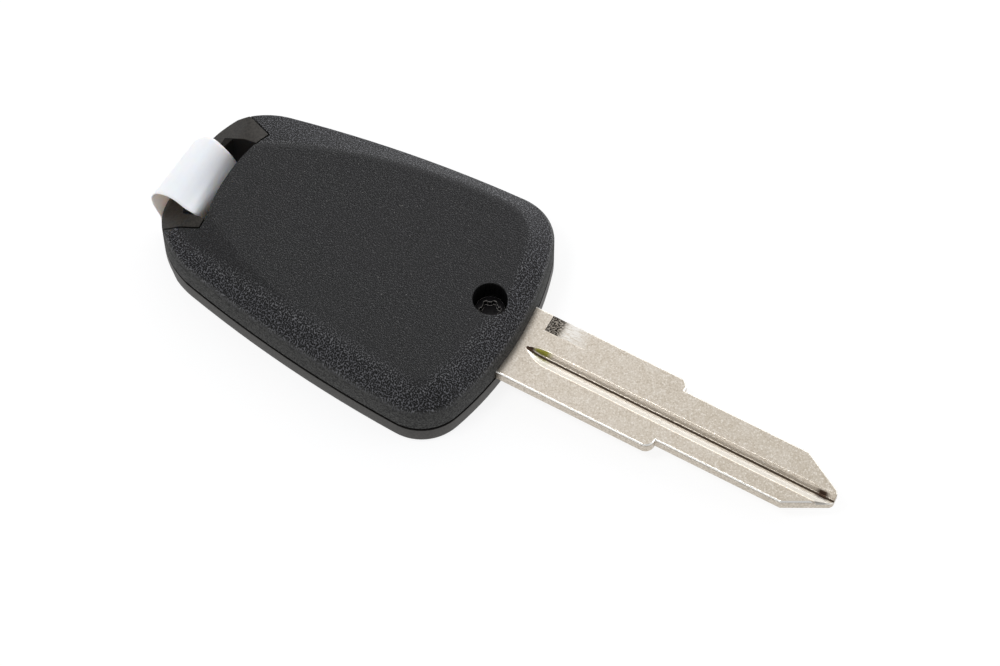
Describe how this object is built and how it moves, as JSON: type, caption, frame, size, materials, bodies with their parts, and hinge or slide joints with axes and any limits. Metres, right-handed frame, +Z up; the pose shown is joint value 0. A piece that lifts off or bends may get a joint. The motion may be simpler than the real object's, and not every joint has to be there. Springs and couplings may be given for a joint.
{
  "type": "remote car key",
  "caption": "Fixed-blade remote car key: screwed black plastic head with buttons and a ring slot, grooved metal blade, paper strip in the slot.",
  "frame": {"origin": "On the rest face under the buttons' side of the head, on the blade's centre line, level with the cover screw", "axes": "+X along the blade to its tip, +Y across the head, +Z up out of the rear cover, away from the buttons"},
  "size_m": [0.0962, 0.0346, 0.0106],
  "materials": {
    "black_plastic": "fine leather grain, moulded in",
    "nickel_plated_steel": "satin nickel plate",
    "black_steel": "black zinc, slightly glossy",
    "brass": "turned and knurled",
    "board_laminate": "green solder mask",
    "stainless_steel": "bright",
    "spring_bronze": "bright",
    "chip_resin": "moulded resin",
    "button_plastic": "smooth satin",
    "switch_plastic": "moulded",
    "plunger_plastic": "moulded",
    "paper": "smooth uncoated paper"
  },
  "bodies": {
    "key": {"front_cover": "black_plastic", "rear_cover": "black_plastic", "blade": "nickel_plated_steel", "cover_screw": "black_steel", "screw_insert": "brass", "circuit_board": "board_laminate", "battery": "stainless_steel", "battery_negative_contact": "spring_bronze", "battery_positive_clip": "stainless_steel", "control_chip": "chip_resin", "quartz_crystal": "stainless_steel", "transponder_chip": "chip_resin", "paper_tag": "paper", "boot_switch": "switch_plastic", "unlock_switch": "switch_plastic", "lock_switch": "switch_plastic"},
    "boot_cap": {"boot_button": "button_plastic"},
    "boot_switch_plunger": {"boot_plunger": "plunger_plastic"},
    "unlock_cap": {"unlock_button": "button_plastic"},
    "unlock_switch_plunger": {"unlock_plunger": "plunger_plastic"},
    "lock_cap": {"lock_button": "button_plastic"},
    "lock_switch_plunger": {"lock_plunger": "plunger_plastic"}
  },
  "joints": [
    {"name": "boot_button_slide", "type": "slide", "parent": "key", "child": "boot_cap", "axis": [0, 0, 1], "range_m": [0, 0.0003], "stiffness_N_per_m": 1000},
    {"name": "boot_plunger_slide", "type": "slide", "parent": "key", "child": "boot_switch_plunger", "axis": [0, 0, 1], "range_m": [0, 0.0003]},
    {"name": "unlock_button_slide", "type": "slide", "parent": "key", "child": "unlock_cap", "axis": [0, 0, 1], "range_m": [0, 0.0003], "stiffness_N_per_m": 1000},
    {"name": "unlock_plunger_slide", "type": "slide", "parent": "key", "child": "unlock_switch_plunger", "axis": [0, 0, 1], "range_m": [0, 0.0003]},
    {"name": "lock_button_slide", "type": "slide", "parent": "key", "child": "lock_cap", "axis": [0, 0, 1], "range_m": [0, 0.0003], "stiffness_N_per_m": 1000},
    {"name": "lock_plunger_slide", "type": "slide", "parent": "key", "child": "lock_switch_plunger", "axis": [0, 0, 1], "range_m": [0, 0.0003]}
  ],
  "couplings": [
    {"joint": "boot_plunger_slide", "follows": "boot_button_slide", "ratio": 1},
    {"joint": "unlock_plunger_slide", "follows": "unlock_button_slide", "ratio": 1},
    {"joint": "lock_plunger_slide", "follows": "lock_button_slide", "ratio": 1}
  ]
}
